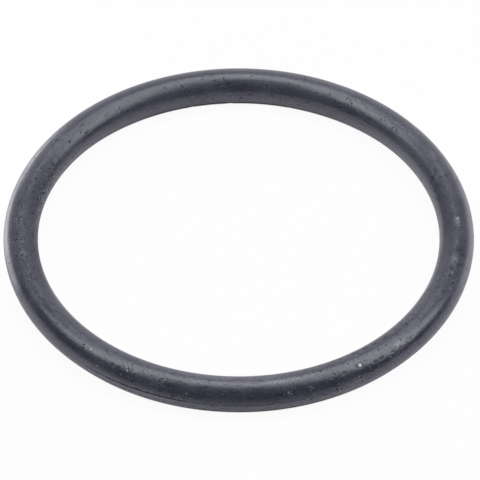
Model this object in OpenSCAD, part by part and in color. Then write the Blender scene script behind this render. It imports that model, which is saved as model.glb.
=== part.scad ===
// Moulded rubber O-ring, one piece, lying flat with its axis upright.
// The origin is the ring's centre, and Z = 0 is the plane where the two mould halves met.
// In that plane a thin line of flash is left all round, on the inside and on the outside,
// where the rubber crept between the mould halves before it was trimmed.

/* [Ring] */
// Inside diameter of the relaxed ring, without its flash
inner_d = 40.87; // [20:0.01:150]
// Diameter of the round section
section_d = 3.53; // [1.8:0.01:7]

/* [Mould flash] */
// How far the trimmed flash stands proud of the section
flash_h = 0.07; // [0.02:0.01:0.2]
// Width of the flash along its trimmed edge
flash_edge_w = 0.09; // [0.04:0.01:0.2]
// Width of the flash where it leaves the section
flash_root_w = 0.17; // [0.08:0.01:0.4]

/* [Hidden] */

rubber = [0.20, 0.20, 0.23];
section_steps = 96;
ring_steps = 240;

section_r = section_d / 2;
// The section's centre runs round the ring on this radius
centre_r = inner_d / 2 + section_r;

// From the section's centre out to the trimmed edge of the flash
flash_edge_x = section_r + flash_h;
// The flanks of the flash carry on at the same slope to this depth inside the rubber
flash_foot_x = section_r - flash_h;
flash_foot_w = 2 * flash_root_w - flash_edge_w;

// Flash: a thin strip right across the section, of which only its two narrowing edges stand proud
module flash_strip() {
    polygon([
        [flash_edge_x, -flash_edge_w / 2],
        [flash_edge_x, flash_edge_w / 2],
        [flash_foot_x, flash_foot_w / 2],
        [-flash_foot_x, flash_foot_w / 2],
        [-flash_edge_x, flash_edge_w / 2],
        [-flash_edge_x, -flash_edge_w / 2],
        [-flash_foot_x, -flash_foot_w / 2],
        [flash_foot_x, -flash_foot_w / 2]
    ]);
}

// The moulded section: a true circle with a line of flash that faces out and one that faces in
module moulded_section() {
    circle(r = section_r, $fn = section_steps);
    flash_strip();
}

module o_ring() {
    color(rubber)
        rotate_extrude($fn = ring_steps)
            translate([centre_r, 0])
                moulded_section();
}

o_ring();
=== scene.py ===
# %% [markdown]
# # A moulded rubber O-ring
#
# The real ring is one piece of charcoal rubber. It was pressed between two hot mould halves, trimmed
# and tumbled, and it has lain in a bin since. At first sight it is only a torus, so all of its
# character is in what the light does along its round section and in small things: the line where
# the mould halves met, the fine skin of the rubber, pits, scuffs and a little dust.
#
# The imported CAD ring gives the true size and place. It is loaded first, and its box is noted, because
# the dressed ring has to stay inside it.

import math
from types import SimpleNamespace

import bpy
import numpy as np
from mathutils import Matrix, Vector


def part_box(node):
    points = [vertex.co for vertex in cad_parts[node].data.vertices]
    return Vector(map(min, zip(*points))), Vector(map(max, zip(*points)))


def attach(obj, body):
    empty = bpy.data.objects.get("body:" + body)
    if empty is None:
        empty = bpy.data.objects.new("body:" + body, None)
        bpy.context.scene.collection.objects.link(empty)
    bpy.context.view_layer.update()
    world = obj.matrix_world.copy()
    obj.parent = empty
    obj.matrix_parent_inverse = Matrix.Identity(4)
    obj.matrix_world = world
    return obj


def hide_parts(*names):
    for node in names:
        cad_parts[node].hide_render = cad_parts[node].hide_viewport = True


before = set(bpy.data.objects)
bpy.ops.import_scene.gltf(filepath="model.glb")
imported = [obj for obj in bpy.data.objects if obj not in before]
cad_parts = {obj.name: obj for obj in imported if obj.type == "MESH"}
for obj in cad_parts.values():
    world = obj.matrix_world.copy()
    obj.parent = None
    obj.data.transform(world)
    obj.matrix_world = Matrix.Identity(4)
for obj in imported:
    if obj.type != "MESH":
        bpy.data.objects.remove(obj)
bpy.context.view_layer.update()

# %% [markdown]
# ## The camera
#
# The photograph looks down on the ring at half a right angle, from so far off that the near and the
# far side are almost the same width. A wide lens close by would swell the near side. So this camera
# stands about a metre away with a very long lens, and its view is as wide as the photograph shows.
#
# The ring isn't quite in the middle of the picture. Moving the camera and its target together by the
# same few tenths of a millimetre keeps the angle and needs no lens shift.

# %% Place the camera
MM = 0.001
CENTRE_RADIUS = 22.2
CENTRE_RADIUS_PX = 217.94
PICTURE_PX = 480
SENSOR_MM = 36.0
CAMERA_ELEVATION = math.radians(45.07)
CAMERA_DISTANCE = 0.999
CAMERA_SEES_FROM = 0.1
CAMERA_SEES_TO = 10
PICTURE_MM_PER_PX = CENTRE_RADIUS / CENTRE_RADIUS_PX
RING_RIGHT_OF_MIDDLE_PX = -1.27
RING_ABOVE_MIDDLE_PX = 2.91


def camera_axes(elevation):
    """The camera's right, up and backward directions, when it looks along +Y and down."""
    right = Vector((1, 0, 0))
    back = Vector((0, -math.cos(elevation), math.sin(elevation)))
    return right, back.cross(right), back


def add_camera():
    """A long lens, aimed so that the ring lies in the picture where it does in the photograph."""
    right, up, back = camera_axes(CAMERA_ELEVATION)
    offset = right * -RING_RIGHT_OF_MIDDLE_PX + up * -RING_ABOVE_MIDDLE_PX
    target = offset * PICTURE_MM_PER_PX * MM
    data = bpy.data.cameras.new("camera")
    data.sensor_width = SENSOR_MM
    seen_width = PICTURE_PX * PICTURE_MM_PER_PX * MM
    data.lens = SENSOR_MM * CAMERA_DISTANCE / seen_width
    data.clip_start = CAMERA_SEES_FROM
    data.clip_end = CAMERA_SEES_TO
    camera = bpy.data.objects.new("camera", data)
    camera.location = target + back * CAMERA_DISTANCE
    camera.rotation_euler = back.to_track_quat("Z", "Y").to_euler()
    bpy.context.scene.collection.objects.link(camera)
    bpy.context.scene.camera = camera
    return camera


camera = add_camera()
bpy.context.scene.view_settings.view_transform = "Standard"
print("lens in mm:", round(camera.data.lens, 1))

# %% [markdown]
# ## Short words for shader nodes
#
# A material here is built from nodes, and most steps are alike: take a value, do one sum with it, or
# stretch its range. A few small helpers say that in one line each, so that the materials below read
# as a recipe and not as wiring. Nodes placed by hand in the editor would do the same, but a script
# can be read from top to bottom, and each number in it can have a name.

# %% Name the node steps


def node(tree, kind, **inputs):
    """A new shader node. Keywords name its inputs, with underscores for spaces, as values or links."""
    made = tree.nodes.new(kind)
    for name, value in inputs.items():
        plug(tree, made.inputs[name.replace("_", " ")], value)
    return made


def plug(tree, socket, value):
    """Give a socket a fixed value, or link it to another node's output."""
    if isinstance(value, bpy.types.NodeSocket):
        tree.links.new(value, socket)
    else:
        socket.default_value = value


def calc(tree, operation, first, second):
    """The result of one sum with two values."""
    made = tree.nodes.new("ShaderNodeMath")
    made.operation = operation
    plug(tree, made.inputs[0], first)
    plug(tree, made.inputs[1], second)
    return made.outputs[0]


def add_share(tree, value, other, share):
    """The value plus this share of another one. A share below 0 takes away."""
    return calc(tree, "ADD", value, calc(tree, "MULTIPLY", other, share))


def stretch(tree, value, low, high, to_low=0.0, to_high=1.0):
    """The value, with low..high stretched to to_low..to_high and cut off beyond them."""
    made = node(
        tree, "ShaderNodeMapRange", Value=value, From_Min=low, From_Max=high, To_Min=to_low, To_Max=to_high
    )
    return made.outputs["Result"]


def mix(tree, share, first, second):
    """A colour between two others."""
    made = tree.nodes.new("ShaderNodeMix")
    made.data_type = "RGBA"
    plug(tree, made.inputs["Factor"], share)
    plug(tree, made.inputs["A"], first)
    plug(tree, made.inputs["B"], second)
    return made.outputs["Result"]


print("steps for values and colours are ready")

# %% Name the steps for whole shaders


def empty_tree(owner):
    """The node tree of a material or a world, with nothing in it yet."""
    owner.use_nodes = True
    owner.node_tree.nodes.clear()
    return owner.node_tree


def layered(tree, share, under, over):
    """A shader that shows the one over by this share, and the one under for the rest."""
    made = node(tree, "ShaderNodeMixShader", Fac=share)
    tree.links.new(under.outputs[0], made.inputs[1])
    tree.links.new(over.outputs[0], made.inputs[2])
    return made


def show(tree, shader, output="ShaderNodeOutputMaterial"):
    """Lead a shader to the output of its tree."""
    tree.links.new(shader.outputs[0], node(tree, output).inputs["Surface"])


print("steps for whole shaders are ready")

# %% [markdown]
# ## The table
#
# The photograph is cut out on white, so the table has to come out white too, and still carry the
# ring. More light would bleach the ring. Instead the camera and the ring's reflections see the table
# mostly as an even white, and a little as plain white card in the studio's light, which keeps a faint
# shadow. Right under the ring, where hardly any light gets in, an occlusion node darkens the white:
# that thin dark line along the ring's lower edges is what makes it rest on something.
#
# Dark rubber is a mirror of its surroundings, so the table that it sees shapes its lower half. The
# Light Path node tells the camera's rays from those that the rubber mirrors, and for the second kind
# the white is changed in three ways. It is a little cooler, as the rubber's underside is in the
# photograph. It fades on the photographer's side, because the lamps stand behind the ring. And it is
# darker in a band under the ring, wider than the thin line, where the ring shades its own table.

# %% Say how the rubber sees the table
WHITE = (1, 1, 1, 1)
WHITE_IN_RUBBER = (0.93, 0.92, 1.0, 1)
FADE_STARTS_AT = -24 * MM
FADE_ENDS_AT = -29 * MM
FADED_WHITE = 0.42
UNDER_REACH = 1.4 * MM
UNDER_OPENNESS = (0.35, 0.85)
UNDER_WHITE = 0.35


def openness(tree, reach):
    """How little stands over a point within this reach, from 0, covered, to 1, open."""
    return node(tree, "ShaderNodeAmbientOcclusion", Distance=reach).outputs["AO"]


def white_in_rubber(tree):
    """How bright the rubber sees the table: fading to the front, and darker under the ring."""
    place = node(tree, "ShaderNodeTexCoord").outputs["Object"]
    depth = node(tree, "ShaderNodeSeparateXYZ", Vector=place).outputs["Y"]
    fade = stretch(tree, depth, FADE_ENDS_AT, FADE_STARTS_AT, FADED_WHITE, 1.0)
    under = stretch(tree, openness(tree, UNDER_REACH), *UNDER_OPENNESS, UNDER_WHITE, 1.0)
    return calc(tree, "MULTIPLY", fade, under)


print("the rubber sees the table at", FADED_WHITE, "to 1 times white")

# %% Mix the white card
CARD_COLOUR = (0.90, 0.90, 0.90, 1)
CONTACT_REACH = 0.26 * MM
CONTACT_OPENNESS = (0.60, 0.90)
SHADOW_SHARE = 0.05


def card_material():
    """White card that looks an even white to the camera, apart from a share of its shadows."""
    material = bpy.data.materials.new("white_card")
    tree = empty_tree(material)
    path = node(tree, "ShaderNodeLightPath")
    to_camera = path.outputs["Is Camera Ray"]
    to_rubber = path.outputs["Is Glossy Ray"]

    contact = stretch(tree, openness(tree, CONTACT_REACH), *CONTACT_OPENNESS)
    not_to_rubber = calc(tree, "SUBTRACT", 1.0, to_rubber)
    dimming = calc(tree, "MAXIMUM", white_in_rubber(tree), not_to_rubber)
    tint = mix(tree, to_rubber, WHITE, WHITE_IN_RUBBER)
    strength = calc(tree, "MULTIPLY", contact, dimming)
    even_white = node(tree, "ShaderNodeEmission", Color=tint, Strength=strength)

    card = node(tree, "ShaderNodeBsdfDiffuse", Color=CARD_COLOUR)
    seen = layered(tree, SHADOW_SHARE, even_white, card)
    show(tree, layered(tree, calc(tree, "MAXIMUM", to_camera, to_rubber), card, seen))
    return material


white_card = card_material()
print("the table is of", white_card.name)

# %% Lay the table
TABLE_HALF_WIDTH = 1.5


def add_table(height):
    """A wide flat table whose top is at this height."""
    half = TABLE_HALF_WIDTH
    corners = [(-half, -half, height), (half, -half, height), (half, half, height), (-half, half, height)]
    mesh = bpy.data.meshes.new("table")
    mesh.from_pydata(corners, [], [(0, 1, 2, 3)])
    mesh.materials.append(white_card)
    table = bpy.data.objects.new("table", mesh)
    bpy.context.scene.collection.objects.link(table)
    return table


low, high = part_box("o_ring")
table_top = low[2]
add_table(table_top)
print("table top at", round(table_top / MM, 3), "mm and ring top at", round(high[2] / MM, 3), "mm")

# %% [markdown]
# ## The light
#
# Rubber is dark, so nearly all that is seen of it is reflection. Two things shape this ring: an arc
# of soft lamps from the left over the back to the right, which draws the light band along its top,
# and the dim side of the room behind the camera, which leaves the dark band that faces us. The white
# card below fills the underside with grey.
#
# Each lamp is placed where the band it makes points back to. Its brightness is given as times that
# of white card, because that is what the ring reflects, and its power follows from its size.

# %% Make an area lamp
LAMP_TINT = (1.0, 1.0, 1.05)


def direction(turn, height):
    """The unit vector at this turn from +X and this height above the table, in degrees."""
    turn, height = math.radians(turn), math.radians(height)
    level = math.cos(height)
    return Vector((level * math.cos(turn), level * math.sin(turn), math.sin(height)))


def area_lamp(name, width, height, brightness, place, away):
    """A lamp of this size in metres, this many times as bright as white card, that shines against away."""
    data = bpy.data.lights.new(name, "AREA")
    data.shape = "RECTANGLE"
    data.color = LAMP_TINT
    data.size = width
    data.size_y = height
    data.energy = brightness * math.pi * width * height
    lamp = bpy.data.objects.new(name, data)
    lamp.location = place
    lamp.rotation_euler = away.to_track_quat("Z", "Y").to_euler()
    bpy.context.scene.collection.objects.link(lamp)
    return lamp


print("lamp tint:", LAMP_TINT)

# %% Set up the softboxes
LAMP_DISTANCE = 0.6
LAMPS = {
    "lamp_right": {"turn": -1, "height": 49, "half_width": 16.6, "half_height": 22.7, "brightness": 2.64},
    "lamp_left": {"turn": 169, "height": 59, "half_width": 14.9, "half_height": 15.2, "brightness": 2.32},
    "lamp_back": {"turn": 66, "height": 73, "half_width": 15.7, "half_height": 16.7, "brightness": 2.40},
    "lamp_between": {"turn": 137, "height": 68, "half_width": 29, "half_height": 3, "brightness": 3.92},
}


def span(half_angle):
    """The width in metres that spans twice this angle in degrees, seen from the ring."""
    return 2 * LAMP_DISTANCE * math.tan(math.radians(half_angle))


def add_softbox(name, turn, height, half_width, half_height, brightness):
    """A softbox that faces the ring. Its half width and height are the angles it spans from there."""
    away = direction(turn, height)
    return area_lamp(name, span(half_width), span(half_height), brightness, away * LAMP_DISTANCE, away)


for name, values in LAMPS.items():
    lamp = add_softbox(name, **values)
    print(name, "has", round(lamp.data.energy, 2), "W at", [round(x, 2) for x in lamp.location])

# %% [markdown]
# ### Cards close by
#
# The ring's left side carries a bright rim. What it mirrors there is low and right beside the ring,
# and a far lamp in that direction would light up the whole left half instead. A photographer makes
# such a rim with a strip of white card stood on the table, just outside the picture. So do we, with
# lamps the size of such strips that the camera doesn't see.
#
# The rim is strongest where the ring faces straight left, fades to the front, and climbs higher at
# the back, so the strip on the left is in three parts. The one on the right only lifts the rim a bit.

# %% Stand the cards beside the ring
CARDS = {
    "card_left_front": {"x": -26.5, "y_from": -6, "y_to": -1, "top": 1.0, "brightness": 1.6},
    "card_left": {"x": -26.5, "y_from": -1, "y_to": 14, "top": 1.0, "brightness": 2.2},
    "card_left_back": {"x": -26.5, "y_from": 14, "y_to": 34, "top": 3.0, "brightness": 2.3},
    "card_right": {"x": 27.0, "y_from": -6, "y_to": 22, "top": 2.4, "brightness": 0.5},
}


def add_card(name, x, y_from, y_to, top, brightness):
    """A low upright card beside the ring that throws light at it. Sizes and places are in mm."""
    bottom = table_top / MM
    middle = Vector((x, (y_from + y_to) / 2, (top + bottom) / 2)) * MM
    card = area_lamp(name, (y_to - y_from) * MM, (top - bottom) * MM, brightness, middle, Vector((x, 0, 0)))
    card.visible_camera = False
    return card


for name, values in CARDS.items():
    card = add_card(name, **values)
    print(name, "has", round(card.data.energy * 1000, 2), "mW")

# %% [markdown]
# ### The room
#
# Between the lamps the ring mirrors the room. A world of one colour would fill the dark band. This
# one is nearly black behind the camera and glows low behind the ring. Its nodes work out how far each
# ray points towards that glow. The camera itself sees plain white past the table's edge.

# %% Make the room
ROOM_BRIGHT = 1.02
ROOM_DIM = 0.05
ROOM_TINT = (0.98, 1.0, 1.02, 1)
BRIGHT_SIDE = direction(turn=96, height=1)
GLOW_EDGE = 0.55


def room_world():
    """A dim room with a glow low behind the ring. Past the table, the camera sees plain white."""
    world = bpy.data.worlds.new("room")
    tree = empty_tree(world)
    place = node(tree, "ShaderNodeTexCoord")
    towards_glow = node(tree, "ShaderNodeVectorMath")
    towards_glow.operation = "DOT_PRODUCT"
    towards_glow.inputs[1].default_value = BRIGHT_SIDE
    tree.links.new(place.outputs["Generated"], towards_glow.inputs[0])
    shade = stretch(tree, towards_glow.outputs["Value"], GLOW_EDGE, 1.0, ROOM_DIM, ROOM_BRIGHT)
    room = node(tree, "ShaderNodeBackground", Color=ROOM_TINT, Strength=shade)
    white = node(tree, "ShaderNodeBackground", Color=WHITE, Strength=1.0)
    to_camera = node(tree, "ShaderNodeLightPath").outputs["Is Camera Ray"]
    show(tree, layered(tree, to_camera, room, white), "ShaderNodeOutputWorld")
    return world


bpy.context.scene.world = room_world()
print("room light from", ROOM_DIM, "to", ROOM_BRIGHT)

# %% [markdown]
# ## The section
#
# A torus from the menu has evenly spaced rings of points, and its flash line would need points where
# there are none. So the section is listed by hand: even steps round the circle, and at the inside
# and the outside a few close points that can rise into the flash. Angles run from the outside (0)
# over the top (90) to the inside (180).

# %% List the section's points
SECTION_RADIUS = 1.760
EVEN_STEPS = 58
FLASH_POINTS = (-0.36, -0.24, -0.13, -0.050, 0.0, 0.040, 0.085, 0.120, 0.165)


def section_angles():
    """The angles round the section, in order, with close points at the inside and the outside."""
    close = np.arcsin(np.array(FLASH_POINTS) / SECTION_RADIUS)
    steps = EVEN_STEPS // 2 + 2
    upper = np.linspace(close[-1], np.pi + close[0], steps)[1:-1]
    lower = np.linspace(np.pi + close[-1], 2 * np.pi + close[0], steps)[1:-1]
    return np.concatenate([close, upper, np.pi + close, lower])


angles = section_angles()
close_count = len(FLASH_POINTS)
OUTSIDE = slice(0, close_count)
INSIDE = slice(close_count + EVEN_STEPS // 2, 2 * close_count + EVEN_STEPS // 2)
print(len(angles), "points round the section")

# %% [markdown]
# ## Unevenness
#
# Nothing moulded is perfectly even, but it is never jagged either: its errors are soft swells of a
# certain length. A sum of hand-picked waves repeats and looks drawn. Here white noise is smoothed in
# frequency space instead. That gives swells of any length, it closes on itself round the ring, and
# one seed gives the same ring each time.
#
# The ring is worked out at stations along it, about a tenth of a millimetre apart, and at the
# section's points at each of them. The last helper is a soft oval spot. Pits, dust and scuffs are all
# made of such spots.

# %% Make soft noise and spots
STATIONS = 1300
RING_LENGTH = 2 * math.pi * CENTRE_RADIUS
SECTION_LENGTH = 2 * math.pi * SECTION_RADIUS
SOFTNESS = 1.5
station_angles = np.linspace(-np.pi, np.pi, STATIONS, endpoint=False)


def soft_noise(seed, swell, swell_across=None):
    """Noise between about -1 and 1 that is smooth below these lengths in mm.

    One value per station along the ring, or with swell_across one per station and section point.
    """
    rng = np.random.default_rng(seed)
    along = np.fft.fftfreq(STATIONS, RING_LENGTH / STATIONS)
    keep = np.exp(-0.5 * (along * swell * SOFTNESS) ** 2)
    if swell_across is None:
        values = np.fft.ifft(np.fft.fft(rng.normal(size=STATIONS)) * keep).real
    else:
        across = np.fft.fftfreq(len(angles), SECTION_LENGTH / len(angles))
        keep = keep[:, None] * np.exp(-0.5 * (across * swell_across * SOFTNESS) ** 2)[None, :]
        values = np.fft.ifft2(np.fft.fft2(rng.normal(size=(STATIONS, len(angles)))) * keep).real
    return np.clip(values / (2 * values.std()), -1, 1)


def apart(places, middle):
    """How far each of these angles is from the middle one, the short way round, in radians."""
    return np.angle(np.exp(1j * (places - middle)))


def spot(turn, section, long, wide):
    """How much each point is in an oval spot: 1 in its middle and half at its edge. Sizes are in mm.

    It lies at this turn round the ring and this angle round the section, both in degrees.
    """
    along = apart(station_angles, math.radians(turn)) * CENTRE_RADIUS
    across = apart(angles, math.radians(section)) * SECTION_RADIUS
    away2 = (2 * along[:, None] / long) ** 2 + (2 * across[None, :] / wide) ** 2
    return np.exp(-math.log(2) * away2)


print("there are", STATIONS, "stations along the ring")

# %% Let the ring swell
WAVES = {"seed": 11, "swell": 9.0, "swell_across": 3.0}

waviness = soft_noise(**WAVES)
print("waviness from", round(waviness.min(), 2), "to", round(waviness.max(), 2))

# %% [markdown]
# ## The flash line
#
# Where the mould halves met, rubber crept into the gap and was trimmed off. What is left is a ragged
# fin, less than a tenth of a millimetre high, with a slight crease beside it that is darkened, partly as
# dirt and partly as painted shade. On the outside it is strongest at the front left, and elsewhere it
# comes and goes.
#
# It could be drawn as a bump in the material, but it also shows as an edge, so it is real geometry:
# the close points rise by a profile times a height that varies along the ring.

# %% Draw the flash's profile
FLASH_TOP = 0.070
FLASH_PROFILE = np.array([0.0, 0.34, 0.66, 0.92, 1.0, 0.90, 0.0, 0.0, 0.0])
CREASE_DEPTH = 0.065
CREASE_PROFILE = np.array([0.0, 0.0, 0.0, 0.0, 0.0, 0.0, 0.7, 1.0, 0.7])
RUBBED_EDGE = np.array([0.0, 0.0, 0.2, 0.5, 0.6, 0.5, 0.0, 0.0, 0.0])
print("the fin stands up to", FLASH_TOP, "mm high, and its crease is", CREASE_DEPTH, "mm deep")

# %% Let the flash come and go
OUTER_FLASH = {"seed": 21, "strong_at": math.radians(-114)}
INNER_FLASH = {"seed": 31, "strong_at": math.radians(60)}
INNER_FLASH_SHARE = 0.7
STRONG_FLASH_SPREAD = math.radians(11)
LEAST_FLASH = 0.03
PASSING_FLASH = 0.25
STRONG_FLASH = 0.85
RAG_LENGTH = 0.6
PASSING_LENGTH = 6.0
RAGGEDNESS = 0.55


def flash_share(seed, strong_at):
    """How much of the fin is left at each station, from 0 to 1: ragged, with one strong stretch."""
    ragged = 0.5 + 0.5 * soft_noise(seed, RAG_LENGTH)
    comes_and_goes = 0.5 + 0.5 * soft_noise(seed + 1, PASSING_LENGTH)
    strong = np.exp(-0.5 * (apart(station_angles, strong_at) / STRONG_FLASH_SPREAD) ** 2)
    share = np.clip(LEAST_FLASH + PASSING_FLASH * comes_and_goes + STRONG_FLASH * strong, 0, 1)
    return share * (1 - RAGGEDNESS + RAGGEDNESS * ragged)


outer_flash = flash_share(**OUTER_FLASH)
inner_flash = INNER_FLASH_SHARE * flash_share(**INNER_FLASH)
FLASHES = ((OUTSIDE, outer_flash), (INSIDE, inner_flash))
print("outer flash up to", round(FLASH_TOP * outer_flash.max(), 3), "mm")

# %% [markdown]
# ## Marks
# Some of these numbers also carry painted light and shade: pale patches, the dark in pits, dents and the
# crease, and a few pale streaks on the front.
#
# A new ring out of a bag isn't clean. Grains of dust stick to it, the large ones in small pits, other
# parts have dented it and rubbed pale scuffs on it, and some patches of its skin are worn, polished
# or dull. One could paint all that on a picture and wrap it round the ring, but a picture has one
# sharpness and can't dent the surface. So each kind of mark is one number per point of the mesh,
# mostly from 0 to 1. The same number can move the point and change colour, gloss and grain there.
#
# The marks that the photograph shows are listed one by one. The sides that it doesn't show get the same
# kinds of mark at random, each kind from a seed of its own.
#
# A mark is written as its turn round the ring and its angle round the section, both in degrees, then
# its length and width in mm and, where that isn't 1, its strength.

# %% Scatter and gather marks


def random_marks(seed, count, long, wide):
    """This many marks at random. Their length and width are drawn from these ranges in mm."""
    rng = np.random.default_rng(seed)
    return [
        (rng.uniform(-180, 180), rng.uniform(0, 360), rng.uniform(*long), rng.uniform(*wide))
        for _ in range(count)
    ]


def unseen(mark):
    """Whether the skin at this mark faces away from the photograph's camera."""
    turn, section = mark[:2]
    to_camera = camera_axes(CAMERA_ELEVATION)[2]
    return direction(turn, section).dot(to_camera) < 0


def unseen_marks(seed, count, long, wide):
    """This many random marks on the sides that the photograph doesn't show."""
    return [mark for mark in random_marks(seed, 4 * count, long, wide) if unseen(mark)][:count]


def strongest(marks):
    """Spots for all these marks in one table. Where they overlap, the stronger one counts."""
    table = np.zeros((STATIONS, len(angles)))
    for turn, section, long, wide, *strength in marks:
        table = np.maximum(table, spot(turn, section, long, wide) * (strength[0] if strength else 1.0))
    return table


print("a mark under the ring is unseen:", unseen((-90, 270)))

# %% [markdown]
# ### Dust, pits and dents
#
# A grain of dust is about as wide as long, so it has one size. A large grain sits in a pit a little
# wider than itself. Small pits without a grain, from air in the mould, lie all over the ring. Dents
# are longer, mostly along the ring, and come from other parts in the same bin.

# %% Scatter the dust
SPECKS = (
    (-58.2, 59, 0.36),
    (-65.2, 79, 0.16),
    (-118.8, 54, 0.12),
    (-130.3, 65, 0.14),
    (-126.8, 28, 0.12),
    (-102.8, 34, 0.15),
    (-72.0, 45, 0.10),
    (-71.4, 36, 0.10),
    (-66.4, 41, 0.12),
    (-65.8, 30, 0.10),
    (-78.6, 46, 0.11),
    (-77.8, 37, 0.13),
    (-77.2, 33, 0.10),
    (-56.4, 7, 0.13),
    (-59.0, 14, 0.11),
    (-12.0, 79, 0.15),
    (-14.0, 91, 0.13),
    (-6.2, 87, 0.11),
    (2.5, 87, 0.13),
    (-173.8, 84, 0.17),
)
UNSEEN_SPECKS = {"seed": 42, "count": 40, "long": (0.09, 0.15), "wide": (0.09, 0.15)}

specks = [(turn, section, size, size) for turn, section, size in SPECKS]
dust = strongest(specks + unseen_marks(**UNSEEN_SPECKS))
print(len(specks), "grains of dust are placed by hand")

# %% Press the pits
PITS = {"seed": 41, "count": 110, "long": (0.16, 0.45), "wide": (0.14, 0.26)}
BIG_SPECK = 0.2
PIT_PER_SPECK = 1.7

dust_pits = [
    (turn, section, PIT_PER_SPECK * long, PIT_PER_SPECK * wide)
    for turn, section, long, wide in specks
    if long >= BIG_SPECK
]
pit = strongest(dust_pits + random_marks(**PITS))
print(len(dust_pits), "pits hold a grain, and", PITS["count"], "are empty")

# %% Knock in the dents
DENTS = (
    (20.0, 130, 0.60, 0.28),
    (19.2, 140, 0.35, 0.24),
    (16.0, 129, 0.45, 0.20),
    (22.0, 108, 0.80, 0.24),
    (-18.5, 76, 0.40, 0.26),
    (-20.2, 58, 0.45, 0.26),
    (-23.0, 57, 0.35, 0.22),
    (-27.0, 79, 0.55, 0.20),
    (-14.0, 72, 0.30, 0.20),
    (-13.5, 56, 0.60, 0.24),
    (-10.2, 59, 0.50, 0.24),
    (-8.8, 76, 0.50, 0.24),
    (18.5, 82, 0.50, 0.22),
    (19.0, 104, 0.60, 0.24),
    (21.0, 112, 0.60, 0.24),
    (164.0, 91, 0.32, 0.24),
    (172.0, 74, 0.40, 0.22),
    (175.0, 119, 0.30, 0.24),
    (-177.0, 135, 0.30, 0.20),
    (-160.5, 88, 0.60, 0.20),
    (-166.0, 84, 0.30, 0.20),
    (-123.0, 54, 0.32, 0.22),
    (-121.0, 52, 0.30, 0.20),
    (-127.0, 91, 0.30, 0.20),
    (-54.0, 47, 0.55, 0.22),
    (-52.0, 49, 0.60, 0.26),
    (-48.5, 48, 0.55, 0.22),
    (-46.0, 45, 0.40, 0.22),
    (-42.0, 51, 0.60, 0.20),
    (-62.8, 53, 0.50, 0.20),
    (-57.0, 112, 0.90, 0.26),
    (-54.0, 110, 0.80, 0.26),
    (-51.0, 108, 0.80, 0.28),
    (-47.5, 106, 0.90, 0.26),
    (-62.0, 116, 0.70, 0.26),
    (96.0, 136, 0.45, 0.20),
    (93.0, 131, 0.40, 0.20),
)
UNSEEN_DENTS = {"seed": 45, "count": 30, "long": (0.3, 0.7), "wide": (0.16, 0.28)}

dent = strongest([*DENTS, *unseen_marks(**UNSEEN_DENTS)])
print(len(DENTS), "dents are placed by hand")

# %% [markdown]
# ### Scuffs, painted highlights and worn skin
#
# A scuff is a pale streak where something rubbed along the rubber. Four of the pale streaks listed
# here are painted highlights instead: the long wide one across the front, and three thin ones on the
# front's light band. Where the ring has been rubbed often, its skin is worn: it has more dark flecks
# and pale chips, and it mirrors less.

# %% Rub on the scuffs and paint the highlights
# Painted highlights: the streaks at turns -80.6, -75 and -98 and the long one at -92 lighten the light band
# on the front.
SCUFF_AND_HIGHLIGHT_MARKS = (
    (-45.8, 58, 0.90, 0.40, 1.0),
    (-80.6, 79, 2.4, 0.20, 0.9),
    (-75.0, 79, 4.0, 0.22, 0.35),
    (-98.0, 70, 4.0, 0.22, 0.25),
    (-130.0, 68, 1.4, 0.25, 0.35),
    (1.5, 88, 1.2, 0.50, 0.45),
    (7.0, 99, 0.4, 0.25, 0.35),
    (-12.5, 82, 1.2, 0.50, 0.45),
    (-60.0, 12, 2.4, 0.80, 0.25),
    (27.0, 84, 0.8, 0.40, 0.35),
    (-169.5, 91, 0.7, 0.30, 0.35),
    (88.2, 103, 2.2, 0.45, 0.20),
    (-92.0, 99, 17.0, 1.5, 0.24),
)
UNSEEN_SCUFFS = {"seed": 43, "count": 8, "long": (0.6, 3.0), "wide": (0.2, 0.4)}

scuff = strongest([*SCUFF_AND_HIGHLIGHT_MARKS, *unseen_marks(**UNSEEN_SCUFFS)])
print(len(SCUFF_AND_HIGHLIGHT_MARKS), "scuffs are placed by hand")

# %% Wear some patches down
WORN_PATCHES = (
    (179.0, 85, 4.0, 1.9, 1.0),
    (-173.0, 76, 12.0, 1.9, 0.75),
    (-163.0, 90, 3.0, 1.4, 0.8),
    (1.0, 86, 4.0, 1.6, 0.8),
    (-17.0, 72, 5.0, 1.3, 0.9),
    (20.0, 127, 1.4, 0.9, 0.6),
    (-78.0, 40, 1.8, 0.9, 1.0),
    (-72.0, 38, 1.3, 1.3, 1.0),
    (-66.0, 24, 2.0, 1.8, 1.0),
    (-58.5, 8, 2.4, 1.4, 1.0),
    (-48.0, 42, 5.0, 0.8, 0.5),
    (-73.0, -5, 9.0, 0.9, 0.7),
    (-106.0, 15, 5.0, 0.9, 0.7),
    (-119.0, -20, 8.0, 1.0, 1.0),
    (-101.0, -16, 7.0, 0.8, 1.0),
    (-110.0, 36, 12.0, 1.6, 0.6),
    (-50.0, 28, 11.0, 1.3, 0.7),
    (-58.0, 112, 14.0, 1.2, 0.6),
    (165.0, 160, 8.0, 2.6, 1.2),
    (150.0, 165, 5.0, 2.2, 0.5),
    (84.0, 160, 14.0, 2.2, 0.4),
)
UNSEEN_PATCHES = {"seed": 44, "count": 6, "long": (2.0, 6.0), "wide": (0.8, 1.8)}

wear = strongest([*WORN_PATCHES, *unseen_marks(**UNSEEN_PATCHES)])
print("share of the skin that is worn:", round(float((wear > 0.5).mean()), 2))
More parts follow.
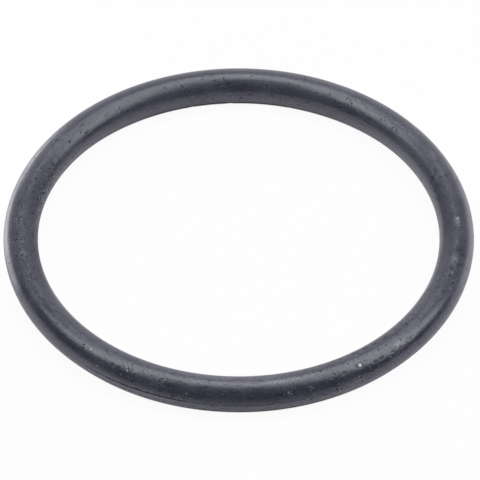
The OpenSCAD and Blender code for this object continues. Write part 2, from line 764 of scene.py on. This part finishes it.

# %% [markdown]
# ### Wide, faint patches
#
# Seen as a whole, the ring isn't equally dark and glossy all round. Fingers have polished it in front,
# two stretches are dull, and painted light, pale patches where the ring would mirror more light, greys
# it here and there. These patches are long and soft, so that no edge of them can be made out.

# %% Polish, dull and paint light on some stretches
POLISHED_PATCHES = (
    (-46.0, 60, 14.0, 6.0, 0.8),
    (-150.0, 70, 8.0, 6.0, 0.5),
    (-97.0, 60, 20.0, 6.0, 0.15),
)
DULL_PATCHES = (
    (-173.0, 130, 11.0, 2.6),
    (110.0, 250, 14.0, 4.0),
)
# Painted light: each patch lightens the rubber where it would mirror more light.
PAINTED_LIGHT_PATCHES = (
    (36.0, 140, 14.0, 5.0, 1.0),
    (31.0, 170, 9.0, 3.2, 2.3),
    (67.0, 84, 16.0, 4.0, 1.0),
    (150.0, 105, 6.0, 3.0, 1.3),
    (-150.0, 120, 5.0, 3.0, 0.6),
    (-150.0, 10, 6.0, 2.5, 1.0),
    (-117.0, -10, 12.0, 2.5, 1.2),
    (-30.0, 90, 6.0, 5.0, 0.5),
)

polish = strongest(POLISHED_PATCHES)
dull = strongest(DULL_PATCHES)
film = strongest(PAINTED_LIGHT_PATCHES)
print("mean of the dust film:", round(float(film.mean()), 3))

# %% [markdown]
# ## Sweep the section round
#
# Each point of the ring is the section's point, moved in or out a little, and turned to its station.
# All sizes are in millimetres until the last line, where they become Blender's metres. The amounts
# are kept negative or inside the flash's height, so that the ring never leaves its CAD box.

# %% Sweep the ring
WAVE_DEPTH = 0.008
PIT_DEPTH = 0.035
DENT_DEPTH = 0.040


def swept_points():
    """Every point of the ring in mm, one row per station."""
    radius = SECTION_RADIUS - WAVE_DEPTH * (0.5 + 0.5 * waviness)
    radius = radius - np.maximum(PIT_DEPTH * pit, DENT_DEPTH * dent)
    for columns, flash in FLASHES:
        radius[:, columns] += FLASH_TOP * flash[:, None] * FLASH_PROFILE
        radius[:, columns] -= CREASE_DEPTH * flash[:, None] * CREASE_PROFILE
    from_axis = CENTRE_RADIUS + radius * np.cos(angles)
    height = radius * np.sin(angles)
    turn = station_angles[:, None]
    return np.stack([from_axis * np.cos(turn), from_axis * np.sin(turn), height], -1)


points = swept_points()
print("widest point in mm:", round(np.hypot(points[..., 0], points[..., 1]).max(), 3))

# %% [markdown]
# ## Skin the points
#
# The points already lie in rows and columns, so each face joins a point to its neighbours, and the
# last row and column join the first. Filling the arrays directly is quicker than adding faces one by
# one, and the order of faces stays known, which the texture map needs: it cuts the ring into four
# quarter turns and lays their unrolled skins above each other, all at the same scale. Nothing here
# needs that map, but whoever bakes the material into a picture gets it sharp and without stretch.

# %% Skin the ring
MAP_ROWS = 4
MAP_GAP = 0.35


def ring_mesh(points):
    """A closed mesh of four-sided faces over a table of points in mm."""
    rows, columns = points.shape[:2]
    row = np.arange(rows)[:, None]
    column = np.arange(columns)[None, :]
    next_row = (row + 1) % rows
    next_column = (column + 1) % columns
    corners = [
        row * columns + column,
        next_row * columns + column,
        next_row * columns + next_column,
        row * columns + next_column,
    ]
    faces = np.stack(np.broadcast_arrays(*corners), -1).reshape(-1, 4)
    mesh = bpy.data.meshes.new("ring")
    mesh.from_pydata((points.reshape(-1, 3) * MM).tolist(), [], faces.tolist())
    mesh.shade_smooth()
    return mesh


def add_map(mesh):
    """Unroll the skin into rows of a quarter turn each, in mm, and shrink them all to fit in 0..1."""
    per_row = STATIONS // MAP_ROWS
    station = np.arange(STATIONS)
    start = (station % per_row) * RING_LENGTH / STATIONS
    around = np.append(angles, angles[0] + 2 * np.pi) - angles[0]
    bottom = (station // per_row)[:, None] * (SECTION_LENGTH + MAP_GAP) + around[None, :] * SECTION_RADIUS
    left = np.repeat(start[:, None], len(angles), 1)
    right = left + RING_LENGTH / STATIONS
    low, high = bottom[:, :-1], bottom[:, 1:]
    corners = np.stack([left, low, right, low, right, high, left, high], -1)
    whole = MAP_ROWS * (SECTION_LENGTH + MAP_GAP)
    layer = mesh.uv_layers.new(name="OFBake")
    layer.data.foreach_set("uv", ((corners + MAP_GAP / 2) / whole).ravel().astype(np.float32))


mesh = ring_mesh(points)
add_map(mesh)
ring = bpy.data.objects.new("rubber_ring", mesh)
bpy.context.scene.collection.objects.link(ring)
print(len(mesh.polygons), "faces on the ring")

# %% [markdown]
# ## Numbers for the material
#
# Next to the marks, the mesh carries two kinds of place. Blender's own object coordinates are right
# for a grain that is the same in all directions. But rubber flows along the mould, and parts are
# rubbed along it too, so some of the pattern has to be drawn out along the ring. For that each point
# gets its place on a ring that has shrunk lengthwise and not crosswise. Its section is a circle too,
# so such a place takes four numbers, and a 4-D noise makes the pattern with no seam anywhere.
#
# The pits, the dents and the crease beside the flash are darkened: partly grime, where a cloth doesn't
# reach, and partly painted shade, where little light gets in. The flash's edge sticks out and is rubbed
# pale, as a scuff is.

# %% Store the marks on the mesh
PIT_GRIME_AND_SHADE = 0.7
DENT_GRIME_AND_SHADE = 0.85


def store(mesh, name, values):
    """Keep one number per point on the mesh under this name."""
    layer = mesh.attributes.new(name, "FLOAT", "POINT")
    layer.data.foreach_set("value", values.ravel().astype(np.float32))


# Painted shade: the pits, the dents and the crease are darkened, part as grime and part as the shade that
# falls in them.
grime = np.maximum(PIT_GRIME_AND_SHADE * pit, DENT_GRIME_AND_SHADE * dent)
for columns, flash in FLASHES:
    grime[:, columns] = np.maximum(grime[:, columns], flash[:, None] * CREASE_PROFILE)
    scuff[:, columns] = np.maximum(scuff[:, columns], flash[:, None] * RUBBED_EDGE)

mark_numbers = {
    "dust": dust,
    "scuff": scuff,
    "wear": wear,
    "film": film,
    "grime": grime,
    "dull": dull,
    "polish": polish,
}
for name, values in mark_numbers.items():
    store(mesh, name, values)
    print(name, "is up to", round(float(values.max()), 2))

# %% Store each point's place on a shorter ring
DRAWN_OUT = 3.0


def store_skin(mesh):
    """Keep each point's place on the lengthwise shrunken ring, in mm, as a vector and a fourth number."""
    turn = station_angles[:, None]
    short = CENTRE_RADIUS / DRAWN_OUT
    level = SECTION_RADIUS * np.cos(angles)
    vectors = np.stack(np.broadcast_arrays(short * np.cos(turn), short * np.sin(turn), level), -1)
    layer = mesh.attributes.new("skin", "FLOAT_VECTOR", "POINT")
    layer.data.foreach_set("vector", vectors.ravel().astype(np.float32))
    store(mesh, "skin_w", np.broadcast_to(SECTION_RADIUS * np.sin(angles), waviness.shape))


store_skin(mesh)
print("numbers on the mesh:", [layer.name for layer in mesh.attributes if not layer.is_internal])

# %% [markdown]
# ## The rubber
#
# Cured rubber is a dark satin: carbon black gives the colour, and the mould's finish gives the soft
# gloss. One flat colour would look like plastic. So the material is built in layers, as the real skin
# is: the rubber's own grain first, then what use has done to it, then what lies on it.
#
# ### The grain
#
# Five noises serve everything that follows. Four are the same in all directions, and each has its
# number of swells in a millimetre, how many finer layers it adds, and how strong these are. The fifth
# is drawn out along the ring. Colour, gloss and height read the same noises, so that a low place is
# also the dark one, which three separate noises would never give.

# %% Grow the grain
PER_METRE = 1 / MM
GRAINS = {
    "fine": {"per_mm": 5.5, "detail": 2, "roughness": 0.6},
    "coarse": {"per_mm": 3.6, "detail": 1, "roughness": 0.5},
    "tiny": {"per_mm": 7.3, "detail": 0, "roughness": 0.5},
    "broad": {"per_mm": 0.35, "detail": 3, "roughness": 0.5},
}
FURROWS = {"per_mm": 2.4, "detail": 3}


def read(tree, name):
    """The number that the mesh carries under this name."""
    made = tree.nodes.new("ShaderNodeAttribute")
    made.attribute_name = name
    return made.outputs["Fac"]


def grain(tree, per_mm, detail, roughness):
    """Noise that is the same in all directions."""
    place = node(tree, "ShaderNodeTexCoord").outputs["Object"]
    scale = per_mm * PER_METRE
    made = node(tree, "ShaderNodeTexNoise", Vector=place, Scale=scale, Detail=detail, Roughness=roughness)
    return made.outputs[0]


def furrows(tree, per_mm, detail):
    """Noise that is drawn out along the ring."""
    made = node(tree, "ShaderNodeTexNoise")
    made.noise_dimensions = "4D"
    place = node(tree, "ShaderNodeAttribute")
    place.attribute_name = "skin"
    plug(tree, made.inputs["Vector"], place.outputs["Vector"])
    plug(tree, made.inputs["W"], read(tree, "skin_w"))
    plug(tree, made.inputs["Scale"], per_mm)
    plug(tree, made.inputs["Detail"], detail)
    return made.outputs[0]


def skin_values(tree):
    """All the noises and all the marks, by name."""
    noises = {name: grain(tree, **values) for name, values in GRAINS.items()}
    marks = {name: read(tree, name) for name in mark_numbers}
    return SimpleNamespace(drawn=furrows(tree, **FURROWS), **noises, **marks)


print("the finest grain is", round(1 / GRAINS["tiny"]["per_mm"], 2), "mm across")

# %% [markdown]
# ### What use has done, and the painted shade and highlights
#
# Grime, and the painted shade in pits, dents and the crease, is strongest in the stored places and frays
# out with the fine grain. Flecks are the lowest places of the coarse noise, and chips the highest of the
# tiny one. Wear moves both limits, so that worn skin has more of each. A scuff is broken up by the fine
# grain, because rubbing only touches the high places, and the painted highlights among the scuffs are
# broken up the same way.

# %% Find the grime with its painted shade, and the scuffs with their painted highlights
FLECK_LIMITS = (0.27, 0.32)
FLECKS_PER_WEAR = 0.07
GRIME_AND_SHADE_LIMITS = (0.75, 1.25)
SCUFF_AND_HIGHLIGHT_LIMITS = (0.32, 0.52)


def dark_flecks(tree, skin):
    """Small dark spots in the skin, with more of them where it is worn."""
    level = add_share(tree, skin.coarse, skin.wear, -FLECKS_PER_WEAR)
    return stretch(tree, level, *FLECK_LIMITS, 1.0, 0.0)


def grimy_and_shaded(tree, skin, flecks):
    """How dark the skin is made: the stored grime with its painted shade, frayed by the grain, and the
    flecks.
    """
    frayed = stretch(tree, calc(tree, "ADD", skin.grime, skin.fine), *GRIME_AND_SHADE_LIMITS)
    return calc(tree, "MAXIMUM", frayed, flecks)


def scuffed_and_highlighted(tree, skin):
    """The scuffs and painted highlights, broken up by the grain."""
    return calc(tree, "MULTIPLY", skin.scuff, stretch(tree, skin.fine, *SCUFF_AND_HIGHLIGHT_LIMITS))


print("flecks start below", FLECK_LIMITS[1], "of the coarse grain")

# %% [markdown]
# ### What lies on it
#
# Besides the listed grains there is finer dust all over, more than anyone would place. A cell
# pattern gives each cell a middle and a colour of its own. A grain lies in the middle of those cells
# whose colour passes a limit, so the grains are sparse and never in rows.

# %% Find the dust
DUST_LIMITS = (0.40, 0.60)
FINE_DUST_PER_MM = 2.0
FINE_DUST_SHARE = 0.35
GRAIN_EDGE = (0.06, 0.11)
GRAIN_CHOICE = (0.62, 0.80)
CHIP_LIMITS = (0.83, 0.89)
CHIPS_PER_WEAR = 0.16
CHIP_SHARE = 0.38


def fine_dust(tree):
    """Tiny grains of dust: the middles of some cells of a cell pattern."""
    place = node(tree, "ShaderNodeTexCoord").outputs["Object"]
    cells = node(tree, "ShaderNodeTexVoronoi", Vector=place, Scale=FINE_DUST_PER_MM * PER_METRE)
    near = stretch(tree, cells.outputs["Distance"], *GRAIN_EDGE, 1.0, 0.0)
    chosen = stretch(tree, cells.outputs["Color"], *GRAIN_CHOICE)
    return calc(tree, "MULTIPLY", near, chosen)


def dusted(tree, skin):
    """How much dust hides the skin: the listed grains, finer ones, and pale chips."""
    placed = stretch(tree, skin.dust, *DUST_LIMITS)
    finer = calc(tree, "MULTIPLY", fine_dust(tree), FINE_DUST_SHARE)
    chips = stretch(tree, add_share(tree, skin.tiny, skin.wear, CHIPS_PER_WEAR), *CHIP_LIMITS)
    chips = calc(tree, "MULTIPLY", chips, CHIP_SHARE)
    return calc(tree, "MAXIMUM", calc(tree, "MAXIMUM", placed, finer), chips)


print("fine dust has up to", round(FINE_DUST_PER_MM**3), "grains in a cubic millimetre")

# %% [markdown]
# ### The colour
#
# Charcoal rubber is never quite black, and here it is a little blue. Its tone wanders between two
# values with the fine and the broad grain. Painted light, grime with painted shade, scuffs with painted
# highlights, and dust then cover it in that order. Large grains are whiter in the middle, where they are
# thickest.

# %% Mix the colour
RUBBER_DARK = (0.031, 0.032, 0.052, 1)
RUBBER_LIGHT = (0.071, 0.072, 0.105, 1)
GRIME_AND_SHADE_COLOUR = (0.015, 0.015, 0.022, 1)
SCUFF_AND_HIGHLIGHT_COLOUR = (0.30, 0.30, 0.34, 1)
DUST_AND_PAINTED_LIGHT_COLOUR = (0.62, 0.62, 0.66, 1)
GRIT_COLOUR = (0.98, 0.98, 1.0, 1)
TONE_LIMITS = (0.75, 1.25)
GRIT_LIMITS = (0.60, 0.90)
PAINTED_LIGHT_SHARE = 0.045


def rubber_colour(tree, skin, dirt_and_shade, scuffs_and_highlights, dusty):
    """Charcoal in two tones, with painted light, grime with painted shade, scuffs with painted highlights,
    and dust.
    """
    tone = stretch(tree, calc(tree, "ADD", skin.fine, skin.broad), *TONE_LIMITS)
    colour = mix(tree, tone, RUBBER_DARK, RUBBER_LIGHT)
    # Painted light: pale patches where the ring would mirror more light.
    colour = mix(tree, calc(tree, "MULTIPLY", skin.film, PAINTED_LIGHT_SHARE), colour, DUST_AND_PAINTED_LIGHT_COLOUR)
    # Painted shade in the pits, dents and crease, together with grime and dark flecks.
    colour = mix(tree, dirt_and_shade, colour, GRIME_AND_SHADE_COLOUR)
    # Pale scuffs, and painted highlights on the front.
    colour = mix(tree, scuffs_and_highlights, colour, SCUFF_AND_HIGHLIGHT_COLOUR)
    grit = stretch(tree, skin.dust, *GRIT_LIMITS)
    return mix(tree, dusty, colour, mix(tree, grit, DUST_AND_PAINTED_LIGHT_COLOUR, GRIT_COLOUR))


print("rubber from", RUBBER_DARK[:3], "to", RUBBER_LIGHT[:3])

# %% [markdown]
# ### The gloss
#
# Two things make rubber satin: how wide it scatters a reflection, and how much it reflects at all. The
# first is the roughness. It wanders with the furrows, so that the edge of each light band frays along
# the ring. Most marks make the skin rougher, and polish makes it smoother. The second is nearly fixed.
# Carbon black makes rubber reflect more than plain plastic does, so the index of refraction is higher,
# and only worn skin, dirty skin and the painted shade in pits, dents and the crease reflect less.

# %% Set the gloss
RUBBER_IOR = 1.72
GLOSS_LIMITS = (0.7, 1.3)
ROUGHNESS = (0.265, 0.365)
DULL_ROUGHENS = 0.28
POLISH_SMOOTHS = 0.10
SCUFF_AND_HIGHLIGHT_ROUGHENS = 0.10
DUST_ROUGHENS = 0.30
GRIME_AND_SHADE_ROUGHENS = 0.20
FULL_SHINE = 0.5
WEAR_DIMS = 0.16
GRIME_AND_SHADE_DIMS = 0.20


def rubber_roughness(tree, skin, dirt_and_shade, scuffs_and_highlights, dusty):
    """How wide the rubber scatters reflections."""
    noise = calc(tree, "ADD", skin.drawn, skin.broad)
    rough = stretch(tree, noise, *GLOSS_LIMITS, *ROUGHNESS)
    rough = add_share(tree, rough, skin.dull, DULL_ROUGHENS)
    rough = add_share(tree, rough, skin.polish, -POLISH_SMOOTHS)
    rough = add_share(tree, rough, scuffs_and_highlights, SCUFF_AND_HIGHLIGHT_ROUGHENS)
    rough = add_share(tree, rough, dusty, DUST_ROUGHENS)
    return add_share(tree, rough, dirt_and_shade, GRIME_AND_SHADE_ROUGHENS)


def rubber_shine(tree, skin, dirt_and_shade):
    """How much the rubber reflects, where 0.5 is what its index of refraction gives."""
    return add_share(tree, add_share(tree, FULL_SHINE, skin.wear, -WEAR_DIMS), dirt_and_shade, -GRIME_AND_SHADE_DIMS)


print("roughness from", ROUGHNESS[0], "to", ROUGHNESS[1])

# %% [markdown]
# ### The relief
#
# The mesh carries what is larger than a tenth of a millimetre. The grain is finer and only tilts the
# light, so bump is enough for it. Heights are worked out in millimetres, and the bump node's distance
# is one millimetre, so that each depth below is the depth of a real furrow. Wear deepens the grain and
# polish takes it down.

# %% Raise the relief
GRAIN_DEPTH = 0.020
FURROW_DEPTH = 0.008
FLECK_DEPTH = 0.035
WEAR_DEEPENS = 0.5
POLISH_LEVELS = 0.6


def rubber_relief(tree, skin, flecks):
    """The bumped normals of the rubber's skin."""
    depth = add_share(tree, add_share(tree, 1.0, skin.wear, WEAR_DEEPENS), skin.polish, -POLISH_LEVELS)
    height = calc(tree, "MULTIPLY", skin.fine, GRAIN_DEPTH)
    height = add_share(tree, height, skin.drawn, FURROW_DEPTH)
    height = calc(tree, "MULTIPLY", height, depth)
    height = add_share(tree, height, flecks, -FLECK_DEPTH)
    return node(tree, "ShaderNodeBump", Strength=1.0, Distance=MM, Height=height).outputs["Normal"]


print("the grain is", GRAIN_DEPTH, "mm deep")

# %% [markdown]
# ### Dress the ring
#
# With every layer in a function of its own, the material itself is short. The dressed ring rides on
# the imported body and stands for the imported ring, which is hidden.

# %% Mix the rubber and dress the ring


def rubber_material():
    """Satin charcoal rubber with its grain, furrows, grime and painted shade, scuffs and painted
    highlights, painted light and dust.
    """
    material = bpy.data.materials.new("rubber")
    tree = empty_tree(material)
    skin = skin_values(tree)
    flecks = dark_flecks(tree, skin)
    dirt_and_shade = grimy_and_shaded(tree, skin, flecks)
    scuffs_and_highlights = scuffed_and_highlighted(tree, skin)
    dusty = dusted(tree, skin)
    rubber = node(
        tree,
        "ShaderNodeBsdfPrincipled",
        Base_Color=rubber_colour(tree, skin, dirt_and_shade, scuffs_and_highlights, dusty),
        Roughness=rubber_roughness(tree, skin, dirt_and_shade, scuffs_and_highlights, dusty),
        IOR=RUBBER_IOR,
        Specular_IOR_Level=rubber_shine(tree, skin, dirt_and_shade),
        Normal=rubber_relief(tree, skin, flecks),
    )
    show(tree, rubber)
    return material


mesh.materials.append(rubber_material())
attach(ring, "root")
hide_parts("o_ring")
print("the ring wears", mesh.materials[0].name)
